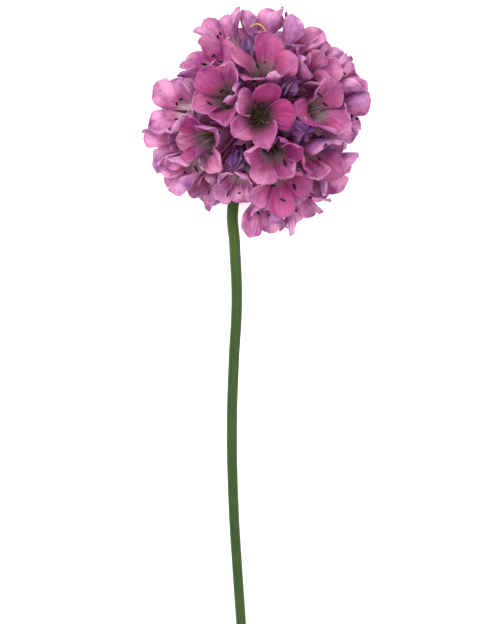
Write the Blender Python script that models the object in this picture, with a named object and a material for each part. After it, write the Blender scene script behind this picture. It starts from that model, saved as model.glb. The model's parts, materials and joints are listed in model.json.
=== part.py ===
"""A picked thrift (sea pink) flower head, lying on a surface with the top of its stem.

The globe of florets rests on its lowest petals, and the stem slopes down to its cut end. Every piece
is modelled about the head's centre, from which all the florets radiate. +Y runs up the stem towards
the head and +Z is up. Lengths are in millimetres, and MM turns them into Blender's metres.

A floret is a tube on a foot that opens into five petals, and every petal opens only as far as the
petals, buds and tubes round it leave it room. Petals that reach the surface are pressed along it.
"""

import math
import random

import bmesh
import bpy
from mathutils import Matrix, Vector
from mathutils.bvhtree import BVHTree

MM = 0.001

# The head
HEAD_HEIGHT = 19.7  # the head's centre above the surface
PRESSED = 1.2  # petals bend along the surface within this distance of it
RECEPTACLE_RADIUS = 3.6
SEAT_GAP = 0.3  # between two pieces that touch
CLEARANCE = 0.1  # the least room round a petal

# A floret
CALYX_FOOT_RADIUS = 0.4
THROAT_REACH = 11.4  # from the head's centre to the mouth of a floret's tube
THROAT_RADIUS = 1.25
PETALS = 5
PETAL_LENGTH = 9.8
PETAL_HALF_WIDTH = 3.3
PETAL_THICKNESS = 0.3
CLAW_HALF_WIDTH = 0.72
CLAW_ANGLE = 12  # a petal leaves the throat at this angle to the floret's axis, in degrees
CLAW_SHARE = 0.12  # the share of a petal's length that stands straight
BEND_SHARE = 0.5  # the share of its length over which it bends into the spread blade
BLADE_SHARE = 0.74  # where the blade is widest
ROUND_SHARE = 0.65  # where it starts to narrow to the tip
TIP_ROUNDING = 0.66
SIDE_LENGTH = 0.95  # the length of a petal's sides, and how much longer its middle is
TIP_BULGE = 0.055
LINE_STEPS = 14
PETAL_ROWS = (0.3, 0.52, 0.76, 1.0)  # the rows of points along a petal, as shares of its length
PETAL_SIDES = (-1, 0, 1)
CLOSED_OPENINGS = (12, 6, 0, -8)
OPENING_ROUNDS = 18
HIGH_THROAT = 12.8  # florets with lower throats than this start to open later,
WAIT_PER_STEP = 6  # by this many rounds for each millimetre,
LONGEST_WAIT = 14  # and by this many at most
LEAST_WIDTH = 0.35
LEAST_ROOM = 0.15
OPEN_WAY = 6.0  # petals keep off another floret's throat, up to this height
OPEN_WAY_RADIUS = 2.0
NEAR = 0.45  # florets whose axes are further apart than this cosine can't touch

# A bud
BUD_RADIUS = 1.3
BUD_SHAPE = ((6.6, 1.0), (8.2, 1.0), (10.2, 1.0), (12.2, 0.62), (12.9, 0.12))  # reach past its foot, share

# The stem, sheath and bracts
STEM_TOP_RADIUS = 1.13
STEM_END_RADIUS = 0.95
SHEATH_REACH = (5.4, 13.4)  # where the sheath starts and ends, from the head's centre
SHEATH_RADIUS = 1.6
SHEATH_WALL = 0.3
BRACTS = 5
BRACT_BASE = (4.7, 1.8)  # along the stem from the head's centre, and out from the stem's line
BRACT_TIP = (10.6, 3.9)
BRACT_WIDTH = 4.2
BRACT_THICKNESS = 0.28
SHEATH_STEP = 0.5  # past their tips, the bracts' outline drops to the sheath's over this length
HEAD_CLEARED = 30.0  # the stem is clear of the head's petals this far out

# The stem's centre line from the head's centre to the cut, drawn through these points (across, along,
# down). Its far end lies on the surface.
STEM_LINE = (
    (-1.05, -3.7, -0.7),
    (-3.35, -11.9, -2.2),
    (-4.5, -16.2, -3.0),
    (-4.15, -23.2, -4.3),
    (-3.75, -33.7, -6.2),
    (-4.35, -46.0, -8.4),
    (-4.7, -58.4, -10.6),
    (-4.35, -74.4, -13.5),
    (-3.75, -84.5, -15.3),
    (-3.0, -95.5, -17.2),
    (-2.3, -105.0, -18.66),
)

# Open florets: lean from straight up, bearing (0 is +X, 90 is +Y, the crown), rise of the throat in
# millimetres, turn of the petals and how far the petals would open, in degrees.
FLORETS = (
    (2, 34, 1.6, 38, 80),
    (25, 145, 0.8, -14, 76),
    (31, 79, 1.3, 8, 66),
    (56, 131, 0.4, 20, 62),
    (73, 111, 1.6, 36, 44),
    (75, 88, 1.7, 36, 40),
    (71, 62, 0.8, 36, 44),
    (52, 43, 0.0, 19, 72),
    (74, 27, 1.2, 30, 46),
    (45, 8, 1.2, 40, 70),
    (77, 6, 1.7, 30, 44),
    (71, -33, 1.0, 40, 44),
    (47, -68, 1.4, 50, 64),
    (26, -64, 0.6, 18, 76),
    (51, -107, -0.2, 24, 50),
    (64, -145, 0.6, 12, 52),
    (42, -158, 0.7, 44, 60),
    (54, 174, 1.4, 36, 50),
    (79, -166, 1.4, 30, 46),
    (75, -128, 0.2, 36, 42),
    (47, -31, 0.2, 0, 68),
    (75, -84, 1.3, 6, 42),
    (97, 148, -3.2, 50, 50),
    (95, -12, -1.8, 12, 40),
    (99, 176, -2.4, 0, 44),
    (95, -146, -1.6, 40, 58),
    (84, 45, 0.8, 36, 42),
    (99, 24, -1.6, 60, 66),
    (94, -40, -1.4, 30, 66),
    (105, 98, -1.4, 16, 66),
    (117, -163, -1.5, 44, 66),
    (120, 160, -2.3, 10, 66),
    (107, 126, -2.2, 52, 66),
    (122, 70, -1.3, 28, 66),
    (121, 41, -1.8, 4, 66),
    (117, -4, -1.4, 38, 66),
    (122, -34, -1.5, 20, 66),
    (82, -62, 1.2, 30, 40),
    (121, -130, -1.4, 12, 62),
    (144, -82, 0.6, 34, 66),
    (142, 100, 0.4, 0, 66),
    (147, -165, 0.5, 24, 66),
    (144, 142, 0.3, 62, 66),
    (148, 45, 0.7, 18, 66),
    (150, -10, 0.5, 46, 66),
    (172, -40, 0.6, 8, 70),
)

# Florets whose petals are smaller than the others', and single petals, each with its floret's number and
# its own, that are smaller still: those that their neighbours shade.
SMALLER = {
    4: 0.9,
    12: 0.92,
    13: 0.88,
    15: 0.8,
    17: 0.88,
    20: 0.8,
    23: 0.85,
    24: 0.85,
    (5, 2): 0.6,
    (6, 2): 0.6,
    (7, 2): 0.65,
    (9, 0): 0.93,
    (9, 2): 0.6,
    (11, 2): 0.65,
    (11, 3): 0.72,
    (11, 4): 0.7,
    (12, 2): 0.6,
    (13, 2): 0.7,
    (16, 2): 0.6,
    (18, 2): 0.7,
    (19, 2): 0.65,
    (19, 3): 0.85,
    (20, 2): 0.6,
    (22, 2): 0.6,
    (22, 3): 0.65,
    (27, 0): 0.93,
    (27, 2): 0.6,
    (38, 2): 0.6,
}

# Closed buds between the florets: lean, bearing, rise, and girth as a share of the usual.
BUDS = (
    (33, 116, 2.2, 1.0),
    (57, 96, 2.0, 0.95),
    (31, 44, 2.6, 1.0),
    (28, -16, 3.0, 1.5),
    (34, -116, 1.4, 1.0),
    (61, -20, 2.4, 1.05),
)

PETAL_PINK = (0.52, 0.10, 0.30)
BUD_PURPLE = (0.20, 0.05, 0.22)
STEM_GREEN = (0.07, 0.14, 0.04)
RECEPTACLE_GREEN = (0.16, 0.20, 0.07)
PAPER_BROWN = (0.33, 0.20, 0.10)


def direction(lean, bearing):
    """The unit vector that leans this far from +Z towards the bearing, both in degrees."""
    lean, bearing = math.radians(lean), math.radians(bearing)
    across = math.sin(lean)
    return Vector((across * math.cos(bearing), across * math.sin(bearing), math.cos(lean)))


def axes_about(axis):
    """Two unit vectors square to the axis, the first pointing away from straight up."""
    first = (axis * axis.z - Vector((0, 0, 1))).normalized()
    return first, axis.cross(first)


def smooth(share):
    share = min(max(share, 0), 1)
    return share * share * (3 - 2 * share)


def above_surface(point):
    """The point, bent up along the surface if it would come too near to it."""
    deepest = HEAD_HEIGHT - PETAL_THICKNESS / 2
    excess = -point.z - (deepest - PRESSED)
    if excess <= 0:
        return point
    return Vector((point.x, point.y, PRESSED * math.exp(-excess / PRESSED) - deepest))


def ring(bm, centre, axes, radius, count, turn=0.0):
    """A ring of vertices round the centre."""
    _, first, second = axes
    angles = [turn + 2 * math.pi * i / count for i in range(count)]
    return [bm.verts.new(centre + (first * math.cos(a) + second * math.sin(a)) * radius) for a in angles]


def join_rings(bm, low, high):
    for i in range(len(low)):
        j = (i + 1) % len(low)
        bm.faces.new((low[i], low[j], high[j], high[i]))


def turned_solid(bm, axes, profile, sides):
    """A closed solid turned round the axis, from (reach, radius) points."""
    rings = [ring(bm, axes[0] * reach, axes, radius, sides) for reach, radius in profile]
    bm.faces.new(rings[0])
    for low, high in zip(rings, rings[1:]):
        join_rings(bm, low, high)
    bm.faces.new(rings[-1])


def obstacle(axes, profile):
    """A turned solid, grown by the clearance, as a search tree."""
    bm = bmesh.new()
    grown = PETAL_THICKNESS / 2 + CLEARANCE
    turned_solid(bm, axes, [(reach, radius + grown) for reach, radius in profile], 10)
    tree = BVHTree.FromBMesh(bm)
    bm.free()
    return axes[0], tree


STEM_AXIS = Vector(STEM_LINE[2]).normalized()
STEM_AXES = (STEM_AXIS, *axes_about(STEM_AXIS))

draw = random.Random(41)


class Petal:
    """A petal: its claw stands up from the throat, and its blade spreads as far as there is room."""

    def __init__(self, axes, throat, turn, spread, size):
        self.throat = throat
        self.length = size * draw.uniform(0.88, 1.1)
        self.width = size * draw.uniform(0.86, 1.1)
        self.cup = draw.uniform(0.3, 1.7)
        self.twist = math.radians(draw.uniform(-6, 26))
        self.stray = math.radians(draw.uniform(-8, 8))
        self.full_curl = draw.uniform(-25, 45)
        self.full_opening = spread + draw.uniform(-22, 10)
        self.wait = min(max((HIGH_THROAT - throat) * WAIT_PER_STEP, 0), LONGEST_WAIT)
        self.opening = CLAW_ANGLE
        self.tree = None
        self.fixed = []
        self.rivals = []
        self.axis, first, second = axes
        self.out = first * math.cos(turn + self.stray) + second * math.sin(turn + self.stray)
        self.across = self.axis.cross(self.out)

    def line(self):
        """The petal's middle line: out from the floret's axis, up from the throat, angle to the axis."""
        curl = self.full_curl * min(max(self.opening / self.full_opening, 0), 1)
        start, end, curl = map(math.radians, (CLAW_ANGLE, self.opening, curl))
        step = PETAL_LENGTH / LINE_STEPS
        out, up, line = THROAT_RADIUS, 0.0, []
        for i in range(LINE_STEPS + 3):
            share = i / LINE_STEPS
            angle = start + (end - start) * smooth((share - CLAW_SHARE) / BEND_SHARE) + curl * share**3
            line.append((out, up, angle))
            out += math.sin(angle) * step
            up += math.cos(angle) * step
        return line

    def point(self, line, side, share):
        """A point of the petal, side from -1 to 1 across it and share from 0 to 1 along it."""
        widening = smooth((share - CLAW_SHARE) / (BLADE_SHARE - CLAW_SHARE))
        half_width = CLAW_HALF_WIDTH + (self.width * PETAL_HALF_WIDTH - CLAW_HALF_WIDTH) * widening
        rounding = max(share - ROUND_SHARE, 0) / (1 - ROUND_SHARE)
        half_width *= math.sqrt(1 - TIP_ROUNDING * rounding**2)
        along = share * (SIDE_LENGTH + TIP_BULGE * (1 - side**2) * share**2) * self.length * LINE_STEPS
        i = min(int(along), LINE_STEPS + 1)
        out, up, angle = (a + (b - a) * (along - i) for a, b in zip(line[i], line[i + 1]))
        x = side * half_width * math.cos(self.twist * widening)
        lift = side * half_width * math.sin(self.twist * widening)
        lift += self.cup * widening * (x / PETAL_HALF_WIDTH) ** 2
        half_wedge = math.pi / PETALS - side * self.stray
        room = (out - lift * math.cos(angle)) * math.tan(half_wedge)
        room -= (PETAL_THICKNESS / 2 + CLEARANCE) / math.cos(half_wedge)
        room = max(room, LEAST_ROOM)
        x = max(-room, min(x, room))
        inward = self.axis * math.sin(angle) - self.out * math.cos(angle)
        middle = self.axis * (self.throat + up) + self.out * out
        return above_surface(middle + self.across * x + inward * lift)

    def rows(self, bm):
        line = self.line()
        return [[bm.verts.new(self.point(line, side, share)) for side in PETAL_SIDES] for share in PETAL_ROWS]

    def shell(self):
        """The petal's closed skin, with the clearance on it, as a search tree."""
        bm = bmesh.new()
        line = self.line()
        base = [bm.verts.new(self.point(line, side, 0)) for side in PETAL_SIDES]
        rows = [base, *self.rows(bm)]
        join_rows(bm, rows)
        bm.normal_update()
        bm.verts.index_update()
        grown = PETAL_THICKNESS / 2 + CLEARANCE
        points = [v.co + v.normal * grown for v in bm.verts] + [v.co - v.normal * grown for v in bm.verts]
        faces = [[v.index for v in face.verts] for face in bm.faces]
        count = len(bm.verts)
        faces += [[i + count for i in face] for face in faces]
        rims = [[v.index for v in edge.verts] for edge in bm.edges if edge.is_boundary]
        faces += [(a, b, b + count, a + count) for a, b in rims]
        bm.free()
        return BVHTree.FromPolygons(points, faces)

    def try_opening(self, opening):
        """Takes this opening if the petal then clears all round it, and says whether it does."""
        before = self.opening
        self.opening = opening
        tree = self.shell()
        others = self.fixed + [petal.tree for petal in self.rivals if petal.tree]
        if any(tree.overlap(other) for other in others):
            self.opening = before
            return False
        self.tree = tree
        return True

    def start_closed(self):
        """Finds room for the petal while it is closed. It gets smaller until there is some."""
        while not any(self.try_opening(opening) for opening in CLOSED_OPENINGS) and self.width > LEAST_WIDTH:
            self.width *= 0.85
            self.length *= 0.93


def join_rows(bm, rows):
    """Triangles between the rows, with their diagonals alike on both halves."""
    for low, high in zip(rows, rows[1:]):
        (a, b, c), (d, e, f) = low, high
        for corners in ((a, b, d), (b, e, d), (b, c, f), (b, f, e)):
            bm.faces.new(corners)


def new_object(name, mesh_maker, colour, roughness):
    """An object whose mesh is made by mesh_maker(bmesh) in millimetres about the head's centre."""
    bm = bmesh.new()
    mesh_maker(bm)
    bm.transform(Matrix.Scale(MM, 4))
    bmesh.ops.recalc_face_normals(bm, faces=bm.faces)
    mesh = bpy.data.meshes.new(name)
    bm.to_mesh(mesh)
    bm.free()
    mesh.shade_smooth()
    mesh.set_sharp_from_angle(angle=math.radians(50))
    obj = bpy.data.objects.new(name, mesh)
    bpy.context.scene.collection.objects.link(obj)
    obj.parent = head
    material = bpy.data.materials.new(name)
    material.use_nodes = True
    shader = material.node_tree.nodes["Principled BSDF"]
    shader.inputs["Base Color"].default_value = (*colour, 1)
    shader.inputs["Roughness"].default_value = roughness
    shader.inputs["Metallic"].default_value = 0
    mesh.materials.append(material)
    return obj


def thicken(obj, thickness):
    """Gives a sheet its thickness, half on each side."""
    modifier = obj.modifiers.new("Thickness", "SOLIDIFY")
    modifier.thickness = thickness * MM
    modifier.offset = 0


def bud_profile(rise, girth):
    """The bud's (reach, radius) points, from its foot to its tip."""
    foot = RECEPTACLE_RADIUS + SEAT_GAP
    points = [(foot, CALYX_FOOT_RADIUS)]
    return points + [(foot + reach + rise, BUD_RADIUS * girth * share) for reach, share in BUD_SHAPE]


def tube_profile(rise):
    return (RECEPTACLE_RADIUS + SEAT_GAP, CALYX_FOOT_RADIUS), (THROAT_REACH + rise, THROAT_RADIUS)


def kept_open(rise):
    """A floret's tube, with the way into it that no other floret's petal covers."""
    return *tube_profile(rise), (THROAT_REACH + rise + OPEN_WAY, OPEN_WAY_RADIUS)


def make_floret(name, axes, rise, turn, petals):
    """A tube on its foot, opening into five petals."""
    (foot_reach, foot_radius), (throat, throat_radius) = tube_profile(rise)
    turn = math.radians(turn) - math.pi / PETALS
    count = 2 * PETALS

    def sheet(bm):
        foot = ring(bm, axes[0] * (foot_reach + PETAL_THICKNESS / 2), axes, foot_radius, count, turn)
        mouth = ring(bm, axes[0] * throat, axes, throat_radius, count, turn)
        bm.faces.new(foot)
        join_rings(bm, foot, mouth)
        for k, petal in enumerate(petals):
            base = [mouth[2 * k], mouth[2 * k + 1], mouth[(2 * k + 2) % count]]
            join_rows(bm, [base, *petal.rows(bm)])

    thicken(new_object(name, sheet, PETAL_PINK, 0.55), PETAL_THICKNESS)


def make_bud(name, axes, rise, girth):
    """A closed bud on its stalk."""
    new_object(name, lambda bm: turned_solid(bm, axes, bud_profile(rise, girth), 8), BUD_PURPLE, 0.5)


def make_receptacle():
    """The swollen end of the stem that every floret sits on."""

    def ball(bm):
        bmesh.ops.create_icosphere(bm, subdivisions=3, radius=RECEPTACLE_RADIUS)

    new_object("receptacle", ball, RECEPTACLE_GREEN, 0.6)


def make_stem():
    """A smooth curve through the stem's points, with round, flat-cut ends."""
    curve = bpy.data.curves.new("stem", "CURVE")
    curve.dimensions = "3D"
    curve.bevel_depth = STEM_TOP_RADIUS * MM
    curve.bevel_resolution = 3
    curve.resolution_u = 4
    curve.use_fill_caps = True
    spline = curve.splines.new("BEZIER")
    spline.bezier_points.add(len(STEM_LINE) - 1)
    last = len(STEM_LINE) - 1
    for i, (point, place) in enumerate(zip(spline.bezier_points, STEM_LINE)):
        point.co = Vector(place) * MM
        point.handle_left_type = point.handle_right_type = "AUTO"
        point.radius = 1 - (1 - STEM_END_RADIUS / STEM_TOP_RADIUS) * i / last
    obj = bpy.data.objects.new("stem", curve)
    bpy.context.scene.collection.objects.link(obj)
    obj.parent = head
    material = bpy.data.materials.new("stem")
    material.use_nodes = True
    shader = material.node_tree.nodes["Principled BSDF"]
    shader.inputs["Base Color"].default_value = (*STEM_GREEN, 1)
    shader.inputs["Roughness"].default_value = 0.45
    curve.materials.append(material)


def make_sheath():
    """The papery tube round the top of the stem."""

    def tube(bm):
        sides = 16
        ends = [
            [ring(bm, STEM_AXIS * reach, STEM_AXES, radius, sides) for reach in SHEATH_REACH]
            for radius in (SHEATH_RADIUS + SHEATH_WALL / 2, SHEATH_RADIUS - SHEATH_WALL / 2)
        ]
        (outer_top, outer_end), (inner_top, inner_end) = ends
        join_rings(bm, outer_top, outer_end)
        join_rings(bm, inner_end, inner_top)
        join_rings(bm, inner_top, outer_top)
        join_rings(bm, outer_end, inner_end)

    new_object("sheath", tube, PAPER_BROWN, 0.7)


def make_bract(index):
    """One papery scale of the ring under the head, curved round the stem."""
    axis, first, second = STEM_AXES
    facing = 2 * math.pi * index / BRACTS

    def sheet(bm):
        rows = []
        for share, width_share in ((0.0, 0.42), (0.3, 0.86), (0.6, 1.0), (0.85, 0.7), (1.0, 0.2)):
            along = BRACT_BASE[0] + (BRACT_TIP[0] - BRACT_BASE[0]) * share
            out = BRACT_BASE[1] + (BRACT_TIP[1] - BRACT_BASE[1]) * share
            half_turn = BRACT_WIDTH * width_share / 2 / out
            row = []
            for side in (-1, 0, 1):
                angle = facing + side * min(half_turn, math.pi / BRACTS - 0.12)
                outward = first * math.cos(angle) + second * math.sin(angle)
                row.append(bm.verts.new(axis * along + outward * out))
            rows.append(row)
        join_rows(bm, rows)

    thicken(new_object(f"bract_{index + 1}", sheet, PAPER_BROWN, 0.7), BRACT_THICKNESS)


def rest_on_surface():
    """Moves the whole flower so that its footprint's middle is the origin and it stands on z = 0."""
    bpy.context.view_layer.update()
    graph = bpy.context.evaluated_depsgraph_get()
    points = []
    for obj in head.children:
        evaluated = obj.evaluated_get(graph)
        points += [evaluated.matrix_world @ vertex.co for vertex in evaluated.to_mesh().vertices]
        evaluated.to_mesh_clear()
    low = Vector(min(point[i] for point in points) for i in range(3))
    high = Vector(max(point[i] for point in points) for i in range(3))
    head.location = (-(low.x + high.x) / 2, -(low.y + high.y) / 2, -low.z)


for old in list(bpy.data.objects):
    bpy.data.objects.remove(old)

head = bpy.data.objects.new("flower_head", None)
bpy.context.scene.collection.objects.link(head)

floret_axes = [direction(lean, bearing) for lean, bearing, *_ in FLORETS]
floret_axes = [(axis, *axes_about(axis)) for axis in floret_axes]
bud_axes = [direction(lean, bearing) for lean, bearing, *_ in BUDS]
bud_axes = [(axis, *axes_about(axis)) for axis in bud_axes]

make_receptacle()
make_stem()
make_sheath()
for i in range(BRACTS):
    make_bract(i)
for i, (axes, (_, _, rise, girth)) in enumerate(zip(bud_axes, BUDS)):
    make_bud(f"bud_{i + 1}", axes, rise, girth)

# What a petal must clear: the stem with its sheath and bracts, the buds, the other florets' tubes, and
# then each petal that is already in place.
stem_shape = (
    BRACT_BASE,
    BRACT_TIP,
    (BRACT_TIP[0] + SHEATH_STEP, SHEATH_RADIUS),
    (SHEATH_REACH[1], SHEATH_RADIUS),
    (HEAD_CLEARED, STEM_TOP_RADIUS),
)
fixed = [obstacle(STEM_AXES, stem_shape)]
fixed += [obstacle(axes, bud_profile(*row[2:])) for axes, row in zip(bud_axes, BUDS)]
tubes = [obstacle(axes, kept_open(row[2])) for axes, row in zip(floret_axes, FLORETS)]
corollas = []
for i, (axes, (_, _, rise, turn, spread)) in enumerate(zip(floret_axes, FLORETS)):
    turns = [math.radians(turn + 360 / PETALS * k) for k in range(PETALS)]
    sizes = [SMALLER.get(i + 1, 1) * SMALLER.get((i + 1, k), 1) for k in range(PETALS)]
    corolla = [Petal(axes, THROAT_REACH + rise, angle, spread, size) for angle, size in zip(turns, sizes)]
    for petal in corolla:
        around = fixed + tubes[:i] + tubes[i + 1 :]
        petal.fixed = [tree for axis, tree in around if axis.dot(axes[0]) > NEAR]
    corollas.append(corolla)
for corolla in corollas:
    rivals = [petal for other in corollas if other is not corolla for petal in other]
    rivals = [petal for petal in rivals if petal.axis.dot(corolla[0].axis) > NEAR]
    for petal in corolla:
        petal.rivals = rivals
        petal.start_closed()

# Then they open little by little, each as far as the others let it. The higher florets start first, and
# so their petals lie over those of the lower ones.
for step in range(1, OPENING_ROUNDS + LONGEST_WAIT + 1):
    for corolla in corollas:
        for petal in corolla:
            share = min(max((step - petal.wait) / OPENING_ROUNDS, 0), 1)
            petal.try_opening(CLAW_ANGLE + (petal.full_opening - CLAW_ANGLE) * share)
for i, (axes, (_, _, rise, turn, _), corolla) in enumerate(zip(floret_axes, FLORETS, corollas)):
    make_floret(f"floret_{i + 1:02d}", axes, rise, turn, corolla)

rest_on_surface()
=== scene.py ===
"""A picked thrift (sea pink) flower head: the finished look of every piece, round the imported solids.

Lengths are in millimetres, measured from the middle of the head, and MM turns them into metres. +Y runs
up the stem and +Z is up. Florets radiate from the middle of the head, so most places are a direction
and a reach.
"""

import json
import random
from math import cos, exp, pi, radians, sin, sqrt, tan

import bmesh
import bpy
from mathutils import Matrix, Vector
from mathutils.bvhtree import BVHTree

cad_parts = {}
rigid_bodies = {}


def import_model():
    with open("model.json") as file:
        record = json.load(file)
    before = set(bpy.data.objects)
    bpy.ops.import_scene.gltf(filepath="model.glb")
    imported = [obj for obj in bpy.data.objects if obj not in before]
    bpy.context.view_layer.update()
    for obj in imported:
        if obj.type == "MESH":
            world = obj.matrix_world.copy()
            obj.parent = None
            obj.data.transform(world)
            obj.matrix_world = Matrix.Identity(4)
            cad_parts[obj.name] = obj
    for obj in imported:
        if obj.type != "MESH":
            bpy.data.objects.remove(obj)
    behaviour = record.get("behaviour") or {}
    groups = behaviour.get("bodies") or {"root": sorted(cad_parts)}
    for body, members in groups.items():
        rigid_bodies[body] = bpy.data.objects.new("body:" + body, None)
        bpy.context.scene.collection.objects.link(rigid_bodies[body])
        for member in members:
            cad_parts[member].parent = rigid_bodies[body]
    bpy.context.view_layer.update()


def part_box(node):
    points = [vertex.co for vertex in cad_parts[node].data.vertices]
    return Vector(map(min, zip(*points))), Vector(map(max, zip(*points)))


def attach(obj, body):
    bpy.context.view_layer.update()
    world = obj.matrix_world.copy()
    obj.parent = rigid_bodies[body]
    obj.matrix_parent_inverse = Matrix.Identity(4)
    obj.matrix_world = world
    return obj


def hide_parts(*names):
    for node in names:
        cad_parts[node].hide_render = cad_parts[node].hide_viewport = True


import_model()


# ----------------------------
# Stem: one leafless, solid green stalk, smooth and faintly streaked, as it grew. It bends a little
# and thins towards its lower end, where it was cut straight across.

MM = 0.001
low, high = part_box("receptacle")
HEAD_CENTRE = (low + high) / 2

STEM_TOP_RADIUS = 1.13
STEM_END_RADIUS = 0.95
STEM_LINE = (
    (-1.05, -3.7, -0.7),
    (-3.35, -11.9, -2.2),
    (-4.5, -16.2, -3.0),
    (-4.15, -23.2, -4.3),
    (-3.75, -33.7, -6.2),
    (-4.35, -46.0, -8.4),
    (-4.7, -58.4, -10.6),
    (-4.35, -74.4, -13.5),
    (-3.75, -84.5, -15.3),
    (-3.0, -95.5, -17.2),
    (-2.3, -105.0, -18.66),
)
STEM_AXIS = Vector(STEM_LINE[2]).normalized()
COLOURS = {"data_type": "RGBA"}  # makes a mixing node mix colours
SOFT = {"interpolation_type": "SMOOTHSTEP"}  # makes a range node start and end softly
CRISP_ANGLE = 50  # edges sharper than this many degrees stay crisp


def linear(hex_colour):
    """An sRGB hex colour as the linear RGBA that a shader socket takes."""
    parts = [int(hex_colour[i : i + 2], 16) / 255 for i in (1, 3, 5)]
    return (*[c / 12.92 if c <= 0.04045 else ((c + 0.055) / 1.055) ** 2.4 for c in parts], 1)


def add_node(material, kind, inputs, **settings):
    """Adds a shader node and sets it up. An input takes a value, a hex colour, an output or a node."""
    node = material.node_tree.nodes.new("ShaderNode" + kind)
    for name, value in settings.items():
        setattr(node, name, value)
    for key, value in inputs.items():
        if isinstance(value, bpy.types.Node):
            value = next(output for output in value.outputs if output.enabled)
        if isinstance(value, bpy.types.NodeSocket):
            material.node_tree.links.new(value, node.inputs[key])
        else:
            node.inputs[key].default_value = linear(value) if isinstance(value, str) else value
    return node


def new_material(name):
    """A material with no nodes yet."""
    material = bpy.data.materials.new(name)
    material.use_nodes = True
    material.node_tree.nodes.clear()
    return material


def named(name):
    """Names the object that the last operator made, and its data."""
    piece = bpy.context.object
    piece.name = piece.data.name = name
    return piece


def select(*pieces):
    """Selects these pieces and no others. The first is the active one."""
    bpy.ops.object.select_all(action="DESELECT")
    for piece in pieces:
        piece.select_set(True)
    bpy.context.view_layer.objects.active = pieces[0]


def finish_piece(piece, *materials, slot, replaced=()):
    """Shades a piece smooth with crisp rims, gives it its materials, sets it on the root body and hides the
    parts it replaces. Its slot is not used.
    """
    select(piece)
    bpy.ops.object.shade_smooth_by_angle(angle=radians(CRISP_ANGLE))
    for material in materials:
        piece.data.materials.append(material)
    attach(piece, "root")
    if replaced:
        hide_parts(*replaced)


def at_centre(point):
    """A point in millimetres from the head's middle, as a place in metres."""
    return HEAD_CENTRE + Vector(point) * MM


def round_stalk(name, route, radius, end_share, steps, roundness):
    """A round stalk on a smooth line through the route, thinning to a share of its radius at its end."""
    bpy.ops.object.select_all(action="DESELECT")
    bpy.ops.curve.primitive_bezier_curve_add()
    stalk = named(name)
    line = stalk.data.splines[0]
    line.bezier_points.add(len(route) - len(line.bezier_points))
    for i, (point, position) in enumerate(zip(line.bezier_points, route)):
        point.co = at_centre(position)
        point.handle_left_type = point.handle_right_type = "AUTO"
        point.radius = 1 - (1 - end_share) * i / (len(route) - 1)
    stalk.data.dimensions = "3D"
    stalk.data.resolution_u = steps
    stalk.data.bevel_depth = radius * MM
    stalk.data.bevel_resolution = roundness
    stalk.data.use_fill_caps = True
    bpy.ops.object.convert(target="MESH")
    return named(name)


# Green plant skin, waxy and satin: dark, blotched, and yellower near the head, where it is youngest.
# Its streaks are 0.3 mm wide and run along the stem.
stem_skin = new_material("stem_skin")
place = add_node(stem_skin, "TexCoord", {}).outputs["Object"]
along = add_node(stem_skin, "Mapping", {"Vector": place, "Scale": (3300, 60, 3300)})
streaks = add_node(stem_skin, "TexNoise", {"Vector": along, "Scale": 1})
patches = add_node(stem_skin, "TexNoise", {"Vector": place, "Scale": 110, "Detail": 3})
blotched = add_node(stem_skin, "MapRange", {"Value": patches, "From Min": 0.35, "From Max": 0.65})
upward = add_node(stem_skin, "SeparateXYZ", {"Vector": place}).outputs[1]
young = add_node(
    stem_skin, "MapRange", {"Value": upward, "From Min": 0.005, "From Max": 0.03, "To Max": 0.45}
)
green = add_node(stem_skin, "Mix", {0: streaks, 6: "#1f3412", 7: "#3a5322"}, **COLOURS)
green = add_node(stem_skin, "Mix", {0: blotched, 6: green, 7: "#263f17"}, **COLOURS)
green = add_node(stem_skin, "Mix", {0: young, 6: green, 7: "#4c6422"}, **COLOURS)
bump = add_node(stem_skin, "Bump", {"Height": streaks, "Strength": 0.2, "Distance": 0.0001})
waxy = add_node(
    stem_skin,
    "BsdfPrincipled",
    {"Base Color": green, "Roughness": 0.45, "Specular IOR Level": 0.2, "Normal": bump},
)
add_node(stem_skin, "OutputMaterial", {"Surface": waxy})

stem = round_stalk("stem_stalk", STEM_LINE, STEM_TOP_RADIUS, STEM_END_RADIUS / STEM_TOP_RADIUS, 10, 7)
finish_piece(stem, stem_skin, slot="stem", replaced=["stem"])


# ----------------------------
# Receptacle: the swollen end of the stem, a green and fibrous knob. Every floret and bud stands on it by
# a thin stalk, on a low round seat.

RECEPTACLE_RADIUS = 3.6
SEAT_GAP = 0.3
FOOT_REACH = RECEPTACLE_RADIUS + SEAT_GAP
SEAT_COSINES = (0.975, 0.993)  # a seat rises between these cosines of the angle to its floret
SEAT_HEIGHT = 0.4
KNOB_SUNK = 0.15
KNOB_RIPPLE = 0.12

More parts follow.
